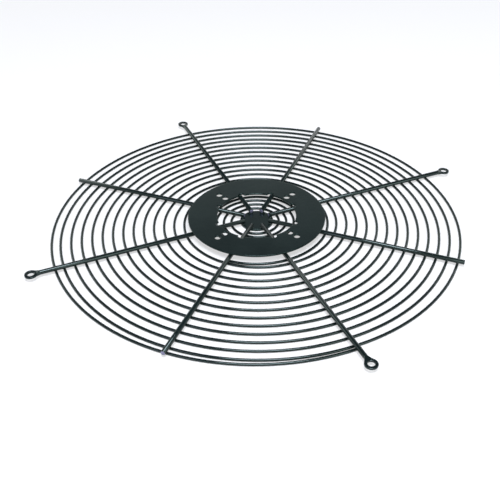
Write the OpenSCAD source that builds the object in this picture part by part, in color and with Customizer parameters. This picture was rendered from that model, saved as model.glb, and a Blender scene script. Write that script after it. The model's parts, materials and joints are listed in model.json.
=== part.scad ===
// Round wire fan guard, 450 mm class, with a flat motor plate.
// One wire is wound as a flat spiral, eight straight rods are welded across it, and four of them
// end in flattened eyes. A flat ring for the motor lies on the rods. A second, short spiral and a
// small disc close the middle. The guard lies on its wires, with +Z towards the motor.

/* [Grille wire] */
// Thickness of the wire of both spirals
wire_d = 3; // [2.5:0.25:4]
// Radius of the outermost turn, to the middle of the wire
grille_outer_r = 225; // [215:1:235]
// Distance from one turn of the grille to the next, between wire middles
grille_pitch = 11.2; // [10.4:0.4:12]
// Number of turns over which the wire widens
grille_turns = 13; // [9:1:13]
// Direction in which the wire starts and stops to widen, in degrees
grille_turn_in = 65; // [0:5:85]

/* [Centre spiral] */
// Radius of its outermost turn, to the middle of the wire
centre_outer_r = 50; // [48:0.5:56]
// Distance from one of its turns to the next, between wire middles
centre_pitch = 8.4; // [7.2:0.4:8.8]
// Number of turns over which it widens
centre_turns = 3; // [2:1:3]
// Direction in which it starts and stops to widen, in degrees
centre_turn_in = -5; // [-40:5:40]

/* [Rods] */
// Thickness of the rods
rod_d = 5; // [4:0.25:6]
// Distance from the axis to the inner end of every rod
rod_start_r = 14.5; // [12:0.5:16]
// Length of a plain rod past the outermost turn
rod_overhang = 3.5; // [2:0.5:12]

/* [Eyes] */
// Diameter of the circle on which the four eyes lie
eye_circle_d = 500; // [490:1:520]
// Width of the flattened end
eye_w = 13; // [11:0.5:16]
// Thickness of the flattened end
eye_t = 2.5; // [2:0.25:3]
// Diameter of the hole in each eye
eye_hole_d = 7; // [5:0.5:8]
// Length over which the rod is squeezed flat
eye_neck = 3; // [2:0.5:8]

/* [Motor plate] */
// Outer diameter of the plate
plate_d = 153; // [145:1:156]
// Diameter of the opening in the plate
plate_open_d = 88; // [80:1:90]
// Thickness of the plate
plate_t = 2; // [1.5:0.25:3]
// Diameter of the outer circle of holes
bolt_outer_d = 120; // [118:1:130]
// Diameter of the inner circle of holes
bolt_inner_d = 100; // [98:0.5:106]
// Diameter of each hole
bolt_hole_d = 6.5; // [4.5:0.25:7]
// Radius of the round notch over each rod, in the edge of the opening
notch_r = 4; // [3:0.25:5]

/* [Hub disc] */
// Diameter of the disc under the inner ends of the rods
hub_d = 37; // [34:0.5:40]
// Thickness of the disc
hub_t = 3; // [2:0.25:3]

/* [Hidden] */
$fn = 96;

eyes = 4;
rod_step = 360 / (2 * eyes);            // eye rods and plain rods take turns
first_end = 5 * rod_step;               // both spirals start under this rod
grille_end = 6 * rod_step;              // the grille wire stops under this rod
centre_end = 5 * rod_step;              // the centre spiral stops under this rod
rod_z = wire_d + rod_d / 2;             // the rods lie on the wires
plate_z = wire_d + rod_d;               // the plate lies on the rods
tip_r = grille_outer_r + wire_d / 2 + rod_overhang;
eye_r = eye_circle_d / 2;
cut = 1;                                // how far a cutter stands out of the work
coat = "#262b2d";

// Centre of the k-th quarter turn. The centres walk round a small square, so that each quarter
// starts in the direction in which the last one ended.
function quarter_centre(k, pitch) =
    let (side = k % 4)
    [(side < 2 ? -1 : 1) * pitch / 8, side == 1 || side == 2 ? -pitch / 4 : 0, 0];

// A round wire bent to part of a circle, from the direction +X
module bend(r, sweep) {
    translate([0, 0, wire_d / 2])
        rotate_extrude(angle = sweep)
            translate([r, 0])
                circle(d = wire_d);
}

// A flat spiral that closes on itself at both ends. It keeps its radius from its start to turn_in,
// widens by quarter turns, and keeps its radius again up to its end.
module spiral(outer_r, pitch, turns, turn_in, start, end) {
    inner_r = outer_r - turns * pitch;
    rotate([0, 0, turn_in]) {
        bend(inner_r, -((turn_in - start + 720) % 360));
        for (k = [0 : 4 * turns - 1])
            translate(quarter_centre(k, pitch))
                rotate([0, 0, 90 * (k % 4)])
                    bend(inner_r + (k + 0.5) * pitch / 4, 90);
        bend(outer_r, (end - turn_in + 720) % 360);
    }
}

module grille_wire() {
    color(coat)
        spiral(grille_outer_r, grille_pitch, grille_turns, grille_turn_in, first_end, grille_end);
}

module centre_spiral() {
    color(coat)
        spiral(centre_outer_r, centre_pitch, centre_turns, centre_turn_in, first_end, centre_end);
}

module hub_disc() {
    color(coat)
        translate([0, 0, wire_d - hub_t])
            cylinder(d = hub_d, h = hub_t);
}

// A straight rod that points along +X
module rod(to_r) {
    translate([rod_start_r, 0, rod_z])
        rotate([0, 90, 0])
            cylinder(d = rod_d, h = to_r - rod_start_r);
}

// The squeezed end of a rod. The neck runs into the pad where the pad is four fifths as wide.
module eye() {
    chord = 0.8 * eye_w;
    chord_x = eye_r - sqrt(eye_w * eye_w - chord * chord) / 2;
    neck_x = eye_r - eye_w / 2 - eye_neck;
    slice = 0.5;
    translate([eye_r, 0, rod_z - eye_t / 2])
        cylinder(d = eye_w, h = eye_t);
    hull() {
        translate([neck_x, 0, rod_z])
            rotate([0, 90, 0])
                cylinder(d = rod_d, h = slice, $fn = 32);
        translate([chord_x, -chord / 2, rod_z - eye_t / 2])
            cube([slice, chord, eye_t]);
    }
}

module eye_rod(angle) {
    color(coat)
        rotate([0, 0, angle])
            difference() {
                union() {
                    rod(eye_r - eye_w / 2 - eye_neck);
                    eye();
                }
                translate([eye_r, 0, rod_z - rod_d])
                    cylinder(d = eye_hole_d, h = 2 * rod_d);
            }
}

module plain_rod(angle) {
    color(coat)
        rotate([0, 0, angle])
            rod(tip_r);
}

// Upright cutters at radius r, one for each step from the first angle
module cutters(r, d, first, count) {
    for (k = [0 : count - 1])
        rotate([0, 0, first + k * 360 / count])
            translate([r, 0, plate_z - cut])
                cylinder(d = d, h = plate_t + 2 * cut);
}

module motor_plate() {
    color(coat)
        difference() {
            translate([0, 0, plate_z])
                cylinder(d = plate_d, h = plate_t);
            translate([0, 0, plate_z - cut])
                cylinder(d = plate_open_d, h = plate_t + 2 * cut);
            cutters(plate_open_d / 2, 2 * notch_r, 0, 2 * eyes);
            cutters(bolt_outer_d / 2, bolt_hole_d, rod_step / 2, eyes);
            cutters(bolt_inner_d / 2, bolt_hole_d, rod_step / 2, eyes);
        }
}

grille_wire();
centre_spiral();
hub_disc();
motor_plate();
eye_rod(0);  // eye_rod_0
eye_rod(90);  // eye_rod_90
eye_rod(180);  // eye_rod_180
eye_rod(270);  // eye_rod_270
plain_rod(45);  // plain_rod_45
plain_rod(135);  // plain_rod_135
plain_rod(225);  // plain_rod_225
plain_rod(315);  // plain_rod_315
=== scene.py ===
import json
import math

import bmesh
import bpy
import numpy as np
from mathutils import Matrix, Vector
from mathutils.geometry import tessellate_polygon


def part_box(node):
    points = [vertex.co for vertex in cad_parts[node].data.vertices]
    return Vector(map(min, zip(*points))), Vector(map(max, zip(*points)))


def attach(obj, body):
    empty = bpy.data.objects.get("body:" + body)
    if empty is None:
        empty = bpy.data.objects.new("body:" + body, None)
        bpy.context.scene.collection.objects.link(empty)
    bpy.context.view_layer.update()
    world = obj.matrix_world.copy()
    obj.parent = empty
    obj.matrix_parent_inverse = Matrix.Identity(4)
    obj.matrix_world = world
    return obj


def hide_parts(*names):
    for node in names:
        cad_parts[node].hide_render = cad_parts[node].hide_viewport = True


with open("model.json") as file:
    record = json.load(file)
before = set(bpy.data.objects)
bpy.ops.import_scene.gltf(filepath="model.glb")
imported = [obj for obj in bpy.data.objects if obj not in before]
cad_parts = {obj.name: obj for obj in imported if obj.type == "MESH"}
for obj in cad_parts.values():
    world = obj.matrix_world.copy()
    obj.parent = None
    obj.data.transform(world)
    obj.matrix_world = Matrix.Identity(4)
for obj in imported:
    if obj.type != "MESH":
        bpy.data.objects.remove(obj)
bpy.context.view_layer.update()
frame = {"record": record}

tau = 2 * math.pi


# Camera. It comes first, and the picture's middle lies a little below the guard's axis.

cameraSettings = {
    "direction": 246.6,                # degrees round the axis, from +X
    "height": 34.34,                   # degrees above the floor
    "distance": 0.8679,                # metres from the middle of the guard
    "lens": 55.67,                     # millimetres
    "sensor": 36,                      # millimetres
    "roll": -0.46,                     # degrees
    "shift": (-0.0133, -0.0582),       # share of the picture's width, across and up
    "aimHeight": 0.0015,               # the middle of the wire
    "sight": (0.02, 20),               # nearest and farthest, in metres
}


def directionOf(turn, rise):
    # the unit vector at an angle round the axis and an angle above the floor, both in degrees
    a, e = math.radians(turn), math.radians(rise)
    return Vector((math.cos(e) * math.cos(a), math.cos(e) * math.sin(a), math.sin(e)))


def lookingInward(turn, rise, far, lift=0.0):
    # the place of a camera or lamp that looks at the middle of the guard, raised by the lift
    outward = directionOf(turn, rise)
    aim = (-outward).to_track_quat("-Z", "Y").to_matrix().to_4x4()
    return Matrix.Translation(outward * far + Vector((0, 0, lift))) @ aim


def makeCamera(s):
    data = bpy.data.cameras.new("camera")
    data.sensor_width = s["sensor"]
    data.lens = s["lens"]
    data.shift_x, data.shift_y = s["shift"]
    data.clip_start, data.clip_end = s["sight"]
    camera = bpy.data.objects.new("camera", data)
    place = lookingInward(s["direction"], s["height"], s["distance"], s["aimHeight"])
    camera.matrix_world = place @ Matrix.Rotation(math.radians(s["roll"]), 4, "Z")
    bpy.context.scene.collection.objects.link(camera)
    bpy.context.scene.camera = camera


makeCamera(cameraSettings)
print("camera: set")


# Mesh makers. Each takes whole arrays of points.

def makeMesh(name, points, faces, smooth=True):
    mesh = bpy.data.meshes.new(name)
    mesh.from_pydata(points.tolist(), [], faces)
    mesh.validate()
    mesh.polygons.foreach_set("use_smooth", np.full(len(mesh.polygons), smooth))
    mesh.update()
    return mesh


def makePiece(name, mesh, materials, nodes):
    piece = bpy.data.objects.new(name, mesh)
    for material in materials:
        mesh.materials.append(material)
    bpy.context.scene.collection.objects.link(piece)
    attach(piece, "root")
    if nodes:
        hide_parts(*nodes)


def gridFaces(rows, columns, start=0, closedRows=False, closedColumns=False):
    # four corners for each cell of a grid whose points are stored row by row
    r = np.arange(rows if closedRows else rows - 1)[:, None]
    c = np.arange(columns if closedColumns else columns - 1)[None, :]
    r2, c2 = (r + 1) % rows, (c + 1) % columns
    corners = [r * columns + c, r * columns + c2, r2 * columns + c2, r2 * columns + c]
    quads = np.stack(corners, -1)
    return (quads.reshape(-1, 4) + start).tolist()


def tubeAlong(path, sideways, upright, radius, sides):
    # a round tube: each point of the path plus radius times (cos t sideways + sin t upright)
    t = np.arange(sides) * tau / sides
    level = np.cos(t)[None, :, None] * sideways[:, None, :]
    rise = np.sin(t)[None, :, None] * upright[:, None, :]
    ring = radius[:, None, None] * (level + rise)
    points = (path[:, None, :] + ring).reshape(-1, 3)
    faces = gridFaces(len(path), sides, closedColumns=True)
    first = np.arange(sides)
    last = first + (len(path) - 1) * sides
    return points, faces + [first[::-1].tolist(), last.tolist()]


def straightTube(start, end, radius, sides, chamfer):
    # a straight tube from start to end along +X, a little narrower at its two faces
    x = np.array([start, start + chamfer, end - chamfer, end])
    r = radius - np.array([chamfer, 0, 0, chamfer])
    path = np.stack([x, 0 * x, 0 * x], 1)
    side, up = np.tile([0.0, 1, 0], (4, 1)), np.tile([0.0, 0, 1], (4, 1))
    return tubeAlong(path, side, up, r, sides)


def turned(points, degrees, lift=0.0):
    # points turned round the axis, then raised
    a = math.radians(degrees)
    x, y, z = points.T
    return np.stack([
        x * math.cos(a) - y * math.sin(a),
        x * math.sin(a) + y * math.cos(a),
        z + lift], 1)


def joined(parts):
    # several lists of points and faces as one
    points, faces, start = [], [], 0
    for somePoints, someFaces in parts:
        points.append(somePoints)
        faces += [[i + start for i in face] for face in someFaces]
        start += len(somePoints)
    return np.concatenate(points), faces


# Paint. All the steel is coated black, with the faint ripple and uneven gloss of a dipped or sprayed coat.

def paint(name, s):
    material = bpy.data.materials.new(name)
    material.use_nodes = True
    tree = material.node_tree
    shader = tree.nodes["Principled BSDF"]
    shader.inputs["IOR"].default_value = s["ior"]
    shader.inputs["Specular Tint"].default_value = (*s["sheenTint"], 1)
    shader.inputs["Metallic"].default_value = s["metal"]
    place = tree.nodes.new("ShaderNodeTexCoord").outputs["Object"]

    def noise(kind):
        node = tree.nodes.new("ShaderNodeTexNoise")
        node.inputs["Scale"].default_value = s[kind + "Scale"]
        node.inputs["Detail"].default_value = s[kind + "Detail"]
        tree.links.new(place, node.inputs["Vector"])
        return node.outputs["Fac"]

    def ramp(kind, low, high):
        node = tree.nodes.new("ShaderNodeMapRange")
        ends = (*s["noiseSpan"], low, high)
        for socket, value in zip(("From Min", "From Max", "To Min", "To Max"), ends):
            node.inputs[socket].default_value = value
        tree.links.new(noise(kind), node.inputs["Value"])
        return node.outputs["Result"]

    def bump(kind):
        node = tree.nodes.new("ShaderNodeBump")
        node.inputs["Strength"].default_value = s[kind]
        node.inputs["Distance"].default_value = s[kind + "Depth"]
        tree.links.new(noise(kind), node.inputs["Height"])
        return node

    tint = tree.nodes.new("ShaderNodeMix")
    tint.data_type = "RGBA"
    tint.inputs["A"].default_value = (*s["dark"], 1)
    tint.inputs["B"].default_value = (*s["light"], 1)
    tree.links.new(ramp("patch", 0, 1), tint.inputs["Factor"])
    tree.links.new(tint.outputs["Result"], shader.inputs["Base Color"])
    tree.links.new(ramp("gloss", *s["gloss"]), shader.inputs["Roughness"])

    ripple = bump("ripple")
    grain = bump("grain")
    tree.links.new(ripple.outputs["Normal"], grain.inputs["Normal"])
    tree.links.new(grain.outputs["Normal"], shader.inputs["Normal"])
    return material


paintSettings = {
    "ior": 1.45,
    "metal": 0.0,
    "sheenTint": (0.80, 1.0, 0.96),
    "dark": (0.003, 0.006, 0.0055),
    "light": (0.006, 0.011, 0.010),
    "noiseSpan": (0.3, 0.7),           # the part of the noise that is used
    "patchScale": 22,                  # every scale is a number of patches per metre
    "patchDetail": 3,
    "gloss": (0.08, 0.14),             # roughness, from the glossiest patch to the dullest
    "glossScale": 60,
    "glossDetail": 4,
    "ripple": 0.20,
    "rippleDepth": 0.0002,
    "rippleScale": 260,
    "rippleDetail": 2,
    "grain": 0.20,
    "grainDepth": 0.00004,
    "grainScale": 2600,
    "grainDetail": 1,
}
wirePaint = paint("wirePaint", paintSettings)
rodPaint = paint("rodPaint", {**paintSettings, "gloss": (0.09, 0.16)})
platePaint = paint("platePaint", {
    **paintSettings,
    "sheenTint": (0.66, 1.0, 0.92),
    "gloss": (0.12, 0.20),
    "rippleScale": 200,
    "patchScale": 14,
})
# The cut ends carry the same black coat as the rest. Their lavender, partly metallic tone is a painted
# highlight standing in for the front light on the rod and wire ends.
cutEndHighlight = paint("cutEndHighlight", {
    **paintSettings,
    "metal": 0.7,
    "dark": (0.16, 0.15, 0.24),
    "light": (0.30, 0.29, 0.42),
    "gloss": (0.35, 0.5),
    "patchScale": 600,
})
# the cut end's tone is a painted highlight, not a thinner coat
print("paint: three coats and the thin coat of a cut end made")


# Steel pieces. Each is one closed shell in place of its solid.

shellSettings = {
    "samePlace": 1e-6,                 # metres, below which two points are one
    "crispFrom": 50,                   # degrees, from which the edge between two faces stays crisp
}


def closeShell(mesh, s):
    # joins points that lie on each other, turns all faces outwards and keeps square edges crisp
    work = bmesh.new()
    work.from_mesh(mesh)
    bmesh.ops.remove_doubles(work, verts=work.verts, dist=s["samePlace"])
    bmesh.ops.recalc_face_normals(work, faces=work.faces)
    work.to_mesh(mesh)
    work.free()
    mesh.set_sharp_from_angle(angle=math.radians(s["crispFrom"]))


def markCutEnds(mesh, sides):
    # faces with as many corners as the tube has sides are its cut ends, and take the second material
    corners = np.empty(len(mesh.polygons), np.int32)
    mesh.polygons.foreach_get("loop_total", corners)
    mesh.polygons.foreach_set("material_index", (corners == sides).astype(np.int32))


def steelPiece(name, shape, coat, node, sides=0):
    # a tube gives the number of its sides, so that its cut ends are found
    mesh = makeMesh(name, *shape)
    closeShell(mesh, shellSettings)
    if sides:
        markCutEnds(mesh, sides)
    makePiece(name, mesh, [coat, cutEndHighlight] if sides else [coat], [node])


# Wires. Both spirals widen by quarter turns whose centres walk round a small square, and close on
# themselves with a plain arc at each end.

grilleSettings = {
    "pitch": 0.0112,
    "turns": 13,
    "turnIn": 65,                      # direction in which the widening starts and stops
    "start": 225,                      # directions of the two ends, each under a rod
    "end": 270,
}
centreSettings = {
    "pitch": 0.0084,
    "turns": 3,
    "turnIn": -5,
    "start": 225,
    "end": 225,
}
wireSettings = {
    "sides": 16,
    "step": 2.5,                       # degrees from one ring to the next
    "chamfer": 0.0003,
}
wireLow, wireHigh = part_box("grille_wire")
wireRadius = (wireHigh[2] - wireLow[2]) / 2


def spiralPath(outer, s):
    # the middle of the wire, with the level direction across it. Each point is a centre plus a
    # radius times (cos, sin), with centre and radius constant through each quarter turn
    inner = outer - s["turns"] * s["pitch"]
    step = math.radians(wireSettings["step"])
    leadIn = math.radians((s["turnIn"] - s["start"]) % 360)
    leadOut = math.radians((s["end"] - s["turnIn"]) % 360)
    quarter = np.arange(4 * s["turns"])
    steps = int(round(tau / 4 / step))
    angle = (quarter[:, None] * tau / 4 + (np.arange(steps) * step)[None, :]).ravel()
    k = np.repeat(quarter, steps)
    radius = inner + (k + 0.5) * s["pitch"] / 4
    cx = np.where(k % 4 < 2, -1, 1) * s["pitch"] / 8
    cy = np.where((k % 4 == 1) | (k % 4 == 2), -1, 0) * s["pitch"] / 4
    before = np.linspace(-leadIn, 0, max(2, round(leadIn / step)), endpoint=False)
    after = np.linspace(0, leadOut, max(2, round(leadOut / step)) + 1)
    angle = np.concatenate([before, angle, after])
    radius = np.concatenate([inner + 0 * before, radius, outer + 0 * after])
    cx = np.concatenate([0 * before, cx, 0 * after])
    cy = np.concatenate([0 * before, cy, 0 * after])
    across = np.stack([np.cos(angle), np.sin(angle), 0 * angle], 1)
    path = np.stack([cx, cy, 0 * cx], 1) + radius[:, None] * across
    return turned(path, s["turnIn"], wireRadius), turned(across, s["turnIn"])


def spiralWire(name, node, outer, s):
    path, across = spiralPath(outer, s)
    c = wireSettings["chamfer"]
    along = np.cross(across, [0, 0, 1.0])              # backwards along the wire
    head, tail = path[:1] - c * along[:1], path[-1:] + c * along[-1:]
    path = np.concatenate([path[:1], head, path[1:-1], tail, path[-1:]])
    across = np.concatenate([across[:1], across, across[-1:]])
    radius = np.full(len(path), wireRadius)
    radius[[0, -1]] -= c
    upright = np.tile([0.0, 0, 1], (len(path), 1))
    sides = wireSettings["sides"]
    tube = tubeAlong(path, across, upright, radius, sides)
    steelPiece(name, tube, wirePaint, node, sides)
    return path


grilleOuter = wireHigh[1] - wireRadius
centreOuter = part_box("centre_spiral")[1][1] - wireRadius
grillePath = spiralWire("grilleWire", "grille_wire", grilleOuter, grilleSettings)
centrePath = spiralWire("centreSpiral", "centre_spiral", centreOuter, centreSettings)
print("wires: two spirals wound")


# Rods. Eye rods end in a pad that is squeezed flat round a hole; plain rods are cut square.

mounts = {m["name"]: m for m in frame["record"]["mounts"]}
rodLow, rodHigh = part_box("plain_rod_45")
eyeLow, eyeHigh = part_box("eye_rod_0")
rodSettings = {
    "radius": (rodHigh[2] - rodLow[2]) / 2,
    "lift": (rodHigh[2] + rodLow[2]) / 2,
    "start": eyeLow[0],
    "plainEnd": rodHigh[0] * math.sqrt(2) - (rodHigh[2] - rodLow[2]) / 2,
    "ring": 24,                        # sides of the round rod
    "chamfer": 0.0004,
}
eyeSettings = {
    "holeRadius": mounts["eyes"]["dims"]["hole_r_mm"] / 1000,
    "middle": mounts["eyes"]["dims"]["pcd_mm"] / 2000,
    "padRadius": eyeHigh[1],
    "halfThick": 0.00125,
    "neck": 0.003,                     # from the round rod to the nearest point of the pad
    "squeeze": 0.0045,                 # length over which the rod becomes flat
    "rimFall": 0.0003,                 # how far the edge of the hole is broken
    "levels": 16,
    "padColumns": 44,
    "squareness": 7,                   # of the pad's section, where 2 is a circle
}


def smoothStep(t):
    t = np.clip(t, 0, 1)
    return t * t * (3 - 2 * t)


def eyeOutline(s, r):
    # the rod's section seen from above, then the flare, the round tip and the flare back: half the
    # width is the greater of a smooth step from the rod to the pad and the pad's own circle
    middle, pad = s["middle"], s["padRadius"]
    neckStart = middle - pad - s["neck"]

    def halfWidth(x):
        circle = np.sqrt(np.clip(pad ** 2 - (x - middle) ** 2, 0, None))
        flare = r["radius"] + (pad - r["radius"]) * smoothStep((x - neckStart) / (middle - neckStart))
        return np.where(x < middle, np.maximum(flare, circle), circle)

    count = s["padColumns"] // 2
    sideX = neckStart + (middle - neckStart) * np.arange(1, count) / count
    side = np.stack([sideX, halfWidth(sideX)], 1)
    around = np.linspace(tau / 4, -tau / 4, s["padColumns"] + 1)
    tip = np.stack([middle + pad * np.cos(around), pad * np.sin(around)], 1)
    across = -np.cos(np.linspace(0, tau / 2, r["ring"] // 2 + 1)) * r["radius"]
    back = np.stack([np.full(len(across), neckStart), across], 1)
    return np.concatenate([back, side, tip, side[::-1] * [1, -1]]), halfWidth, neckStart


def eyeRod(s, r):
    # Height above the middle plane is h (1 - u^n)^(1/n), with u the share of the way from the middle
    # line to the outline. Half the thickness h and the squareness n change smoothly along the squeezed
    # length. Columns run from the hole to the outline, and those at the back end in the round section.
    edge, halfWidth, neckStart = eyeOutline(s, r)
    middle, hole, half = s["middle"], s["holeRadius"], r["ring"] // 2
    bearing = np.arctan2(edge[:, 1], edge[:, 0] - middle)
    rim = np.stack([middle + hole * np.cos(bearing), hole * np.sin(bearing)], 1)
    level = np.sin(np.linspace(0, tau / 4, s["levels"]))      # closer together near the outline
    flat = rim[:, None, :] + (edge - rim)[:, None, :] * level[None, :, None]
    x, y = flat[..., 0], flat[..., 1]
    u = np.where(x < middle, np.abs(y) / halfWidth(x), np.hypot(x - middle, y) / s["padRadius"])
    t = smoothStep((x - neckStart) / s["squeeze"])
    h = r["radius"] + (s["halfThick"] - r["radius"]) * t
    n = 2 + (s["squareness"] - 2) * t
    z = h * (1 - np.clip(u, 0, 1) ** n) ** (1 / n)
    z[:, 0] -= s["rimFall"]
    z[half + 1:, -1] = 0
    z[[0, half], -1] = 0
    columns, levels = z.shape
    top = np.stack([x, y, z], -1).reshape(-1, 3)
    over = gridFaces(columns, levels, closedRows=True)
    under = gridFaces(columns, levels, start=len(top), closedRows=True)
    first = np.arange(columns) * levels
    following = np.roll(first, -1)
    wall = np.stack([first, following, following + len(top), first + len(top)], 1).tolist()
    pad = (np.concatenate([top, top * [1, 1, -1]]), over + under + wall)

    # the round rod, whose last ring lies on the points of the neck's first section
    ring = tau * np.arange(2 * half) / (2 * half)
    section = np.stack([0 * ring, -np.cos(ring), np.sin(ring)], 1) * r["radius"]
    stations = np.array([r["start"], r["start"] + r["chamfer"], neckStart])
    scale = np.array([1 - r["chamfer"] / r["radius"], 1, 1])
    body = section[None] * scale[:, None, None] + stations[:, None, None] * np.array([1.0, 0, 0])
    cells = gridFaces(3, 2 * half, closedColumns=True) + [list(range(2 * half))]
    return joined([pad, (body.reshape(-1, 3), cells)])


def makeRods(r):
    eyed = eyeRod(eyeSettings, r)
    plain = straightTube(r["start"], r["plainEnd"], r["radius"], r["ring"], r["chamfer"])
    for kind, node, angles, (points, faces) in (
            ("eyeRod", "eye_rod", (0, 90, 180, 270), eyed),
            ("plainRod", "plain_rod", (45, 135, 225, 315), plain)):
        for angle in angles:
            shape = (turned(points, angle, r["lift"]), faces)
            steelPiece(f"{kind}{angle}", shape, rodPaint, f"{node}_{angle}", r["ring"])


makeRods(rodSettings)
print("rods: four with eyes, four plain")


# Plate and hub: flat steel. The edge of a cut is carried round each outline, and the faces fill
# between them.

plateLow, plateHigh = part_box("motor_plate")
hubLow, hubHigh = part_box("hub_disc")
plateSettings = {
    "opening": 0.044,                  # radius
    "notch": 0.004,                    # radius of the round notch over each rod
    "notches": 8,
    "holeTurn": 22.5,                  # direction of the first screw hole
    "edge": 0.0005,                    # rounding of the cut edges
    "edgeSteps": 3,
    "rimSides": 180,
    "hubSides": 96,
    "holeSides": 32,
    "notchPoints": 19,
    "arcPoints": 15,                   # of the opening, between two notches
}


def circle(radius, count, middle=(0, 0)):
    t = tau * np.arange(count) / count
    return np.stack([middle[0] + radius * np.cos(t), middle[1] + radius * np.sin(t)], 1)


def notchedCircle(s):
    # an arc of the opening, then an arc round the notch, for each notch in turn
    r, n, count = s["opening"], s["notch"], s["notches"]
    half = math.acos(1 - n * n / (2 * r * r))          # half of what a notch takes from the circle
    reach = math.atan2(r * math.sin(half), r * math.cos(half) - r)
    bite = np.linspace(-reach, reach, s["notchPoints"])
    notch = np.stack([r + n * np.cos(bite), n * np.sin(bite)], 1)
    plain = np.linspace(half, tau / count - half, s["arcPoints"])[1:-1]
    arc = np.stack([r * np.cos(plain), r * np.sin(plain)], 1)
    one = np.concatenate([notch, arc])
    one = np.concatenate([one, np.zeros((len(one), 1))], 1)
    return np.concatenate([turned(one, 360 * k / count) for k in range(count)])[:, :2]


def inset(loop, amount, outward):
    # every side of the outline moves by the amount, so corners move along their mitre
    ahead = np.roll(loop, -1, 0) - loop
    ahead /= np.linalg.norm(ahead, axis=1)[:, None]
    normal = np.stack([ahead[:, 1], -ahead[:, 0]], 1)
    before = np.roll(normal, 1, 0)
    mitre = (normal + before) / (1 + (normal * before).sum(1))[:, None]
    return loop - mitre * amount * (1 if outward else -1)


def flatPiece(outlines, low, high, s):
    # the first outline is the outer edge and the others are holes, all counter-clockwise
    steps = np.linspace(0, tau / 4, s["edgeSteps"] + 1)
    depth = s["edge"] * (1 - np.sin(steps))            # how far each ring stands back from the cut
    drop = s["edge"] * (1 - np.cos(steps))
    depth = np.concatenate([[2 * s["edge"]], depth])
    drop = np.concatenate([[0], drop])
    points, faces, fills, start = [], [], [], 0
    for index, loop in enumerate(outlines):
        outer = index == 0
        flat = np.ones(len(loop))
        upper = [np.column_stack([inset(loop, d, outer), (high - z) * flat]) for d, z in zip(depth, drop)]
        lower = [ring * [1, 1, 0] + [0, 0, low + z] for ring, z in zip(upper[::-1], drop[::-1])]
        rings = upper + lower
        cells = gridFaces(len(rings), len(loop), start=start, closedColumns=True)
        faces += cells if not outer else [f[::-1] for f in cells]
        points += rings
        fills.append((start, start + (len(rings) - 1) * len(loop), upper[0]))
        start += len(rings) * len(loop)
    topIndex = np.concatenate([a + np.arange(len(ring)) for a, b, ring in fills])
    lowIndex = np.concatenate([b + np.arange(len(ring)) for a, b, ring in fills])
    loops = [[Vector(p) for p in ring] for a, b, ring in fills]
    for corners in tessellate_polygon(loops):
        faces.append([int(topIndex[i]) for i in corners])
        faces.append([int(lowIndex[i]) for i in corners[::-1]])
    return np.concatenate(points), faces


def makePlate(s):
    outlines = [circle(plateHigh[0], s["rimSides"]), notchedCircle(s)]
    for name in ("motor_holes_outer", "motor_holes_inner"):
        dims = mounts[name]["dims"]
        for k in range(dims["count"]):
            turn = s["holeTurn"] + 360 * k / dims["count"]
            middle = directionOf(turn, 0) * dims["pcd_mm"] / 2000
            outlines.append(circle(dims["hole_r_mm"] / 1000, s["holeSides"], middle[:2]))
    plate = flatPiece(outlines, plateLow[2], plateHigh[2], s)
    steelPiece("motorPlate", plate, platePaint, "motor_plate")
    hub = flatPiece([circle(hubHigh[0], s["hubSides"])], hubLow[2], hubHigh[2], s)
    steelPiece("hubDisc", hub, platePaint, "hub_disc")


makePlate(plateSettings)
print("plate and hub: cut")


# Welds. A small bead closes each place where a rod lies on a wire, on the hub or under a notch of
# the plate.

weldSettings = {
    "onWire": (0.0013, 0.0017, 0.0007),        # half sizes along the rod, across it and upright
    "onHub": (0.0022, 0.0030, 0.0007),
    "atNotch": (0.0013, 0.0017, 0.0010),
    "columns": 10,
    "rows": 5,
}


def crossings(path, angle):
    # distances from the axis at which a path crosses the half line at an angle
    x, y = turned(path, -angle)[:, :2].T
    k = np.nonzero((y[:-1] < 0) & (y[1:] >= 0) & (x[:-1] > 0))[0]
    return x[k] - y[k] * (x[k + 1] - x[k]) / (y[k + 1] - y[k])


def beads(distances, angle, height, sizes, s):
    # one flattened ball for each distance: rings of latitude between two pole points
    rise = np.linspace(-tau / 4, tau / 4, s["rows"] + 2)
    around = tau * np.arange(s["columns"]) / s["columns"]
    wide = np.cos(rise)[1:-1, None]
    high = np.sin(rise)[1:-1, None]
    rings = np.stack([wide * np.cos(around), wide * np.sin(around), high + 0 * around], -1).reshape(-1, 3)
    ball = np.concatenate([rings, [[0, 0, -1], [0, 0, 1]]]) * sizes
    along = np.arange(s["columns"])
    beside = np.roll(along, -1)
    lastRow = (s["rows"] - 1) * s["columns"]
    lowPole = 0 * along + len(rings)
    under = np.stack([lowPole, beside, along], 1).tolist()
    over = np.stack([lowPole + 1, along + lastRow, beside + lastRow], 1).tolist()
    faces = gridFaces(s["rows"], s["columns"], closedColumns=True) + under + over
    return [(turned(ball + [d, 0, height], angle), faces) for d in distances]


def makeWelds(s):
    parts = []
    notch = plateSettings["opening"] + plateSettings["notch"]
    for angle in range(0, 360, 45):
        onWires = np.concatenate([crossings(grillePath, angle), crossings(centrePath, angle)])
        parts += beads(onWires, angle, rodLow[2], s["onWire"], s)
        parts += beads([(rodSettings["start"] + hubHigh[0]) / 2], angle, rodLow[2], s["onHub"], s)
        parts += beads([notch - s["atNotch"][0] / 2], angle, plateLow[2], s["atNotch"], s)
    points, faces = joined(parts)
    makePiece("weldBeads", makeMesh("weldBeads", points, faces), [rodPaint], [])


makeWelds(weldSettings)
print("welds: beads set")


# Floor, light and background. The studio is white round the horizon and dim overhead, so gloss
# shows both.

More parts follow.
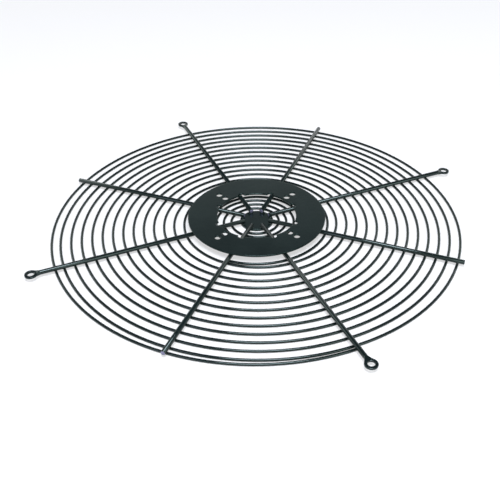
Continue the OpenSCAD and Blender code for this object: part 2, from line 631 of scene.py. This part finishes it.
stageSettings = {
    "floorSize": 30,
    "floorColour": (0.86, 0.86, 0.86),
    "floorGlow": 0.55,                 # share of plain white in the floor as it is seen
    "horizon": (1.0, 1.0, 1.0),
    "overhead": (0.06, 0.065, 0.11),
    "fade": (16, 46),                  # degrees above the floor over which one passes into the other
    "lamps": [                         # direction, height, distance, size, watts, colour
        (252, 70, 1.7, 0.9, 36, (0.88, 0.91, 1.0)),
        (290, 26, 1.8, 1.0, 9, (0.94, 1.0, 0.97)),
        (204, 30, 1.8, 0.9, 5, (0.82, 0.82, 1.0)),
        (14, 20, 1.8, 1.1, 3.5, (0.92, 1.0, 0.95)),
        (119, 20, 1.8, 1.1, 3.5, (0.92, 1.0, 0.95)),
    ],
}


def seenRays(tree):
    # 1 where the camera, a reflection or a see-through part looks at it
    path = tree.nodes.new("ShaderNodeLightPath")
    total = path.outputs["Is Camera Ray"]
    for other in ("Is Glossy Ray", "Is Transmission Ray"):
        node = tree.nodes.new("ShaderNodeMath")
        node.operation = "MAXIMUM"
        tree.links.new(total, node.inputs[0])
        tree.links.new(path.outputs[other], node.inputs[1])
        total = node.outputs[0]
    return total


def makeFloor(s):
    half = s["floorSize"] / 2
    points = np.array([[-half, -half, 0], [half, -half, 0], [half, half, 0], [-half, half, 0]])
    floor = bpy.data.objects.new("floor", makeMesh("floor", points, [[0, 1, 2, 3]], False))
    bpy.context.scene.collection.objects.link(floor)
    material = bpy.data.materials.new("floorWhite")
    material.use_nodes = True
    tree = material.node_tree
    tree.nodes.remove(tree.nodes["Principled BSDF"])
    matt = tree.nodes.new("ShaderNodeBsdfDiffuse")
    matt.inputs["Color"].default_value = (*s["floorColour"], 1)
    glow = tree.nodes.new("ShaderNodeEmission")
    glow.inputs["Strength"].default_value = 1
    share = tree.nodes.new("ShaderNodeMath")
    share.operation = "MULTIPLY"
    share.inputs[1].default_value = s["floorGlow"]
    tree.links.new(seenRays(tree), share.inputs[0])
    mix = tree.nodes.new("ShaderNodeMixShader")
    tree.links.new(share.outputs[0], mix.inputs["Fac"])
    tree.links.new(matt.outputs[0], mix.inputs[1])
    tree.links.new(glow.outputs[0], mix.inputs[2])
    tree.links.new(mix.outputs[0], tree.nodes["Material Output"].inputs["Surface"])
    floor.data.materials.append(material)


def makeSky(s):
    # brightness falls smoothly with height: the share is a smooth step of the sine of the height
    world = bpy.data.worlds.new("studio")
    bpy.context.scene.world = world
    world.use_nodes = True
    tree = world.node_tree
    upward = tree.nodes.new("ShaderNodeSeparateXYZ")
    tree.links.new(tree.nodes.new("ShaderNodeTexCoord").outputs["Generated"], upward.inputs[0])
    share = tree.nodes.new("ShaderNodeMapRange")
    share.interpolation_type = "SMOOTHSTEP"
    share.inputs["From Min"].default_value = math.sin(math.radians(s["fade"][0]))
    share.inputs["From Max"].default_value = math.sin(math.radians(s["fade"][1]))
    tree.links.new(upward.outputs["Z"], share.inputs["Value"])
    tint = tree.nodes.new("ShaderNodeMix")
    tint.data_type = "RGBA"
    tint.inputs["A"].default_value = (*s["horizon"], 1)
    tint.inputs["B"].default_value = (*s["overhead"], 1)
    tree.links.new(share.outputs["Result"], tint.inputs["Factor"])
    tree.links.new(tint.outputs["Result"], tree.nodes["Background"].inputs["Color"])
    tree.nodes["Background"].inputs["Strength"].default_value = 1


def makeLamps(s):
    for index, (turn, rise, far, size, watts, colour) in enumerate(s["lamps"]):
        data = bpy.data.lights.new(f"softLamp{index}", "AREA")
        data.shape = "DISK"
        data.size = size
        data.energy = watts
        data.color = colour
        lamp = bpy.data.objects.new(f"softLamp{index}", data)
        lamp.matrix_world = lookingInward(turn, rise, far)
        bpy.context.scene.collection.objects.link(lamp)


bpy.context.scene.view_settings.view_transform = "Standard"
makeFloor(stageSettings)
makeSky(stageSettings)
makeLamps(stageSettings)
print("stage: floor, sky and lamps set")
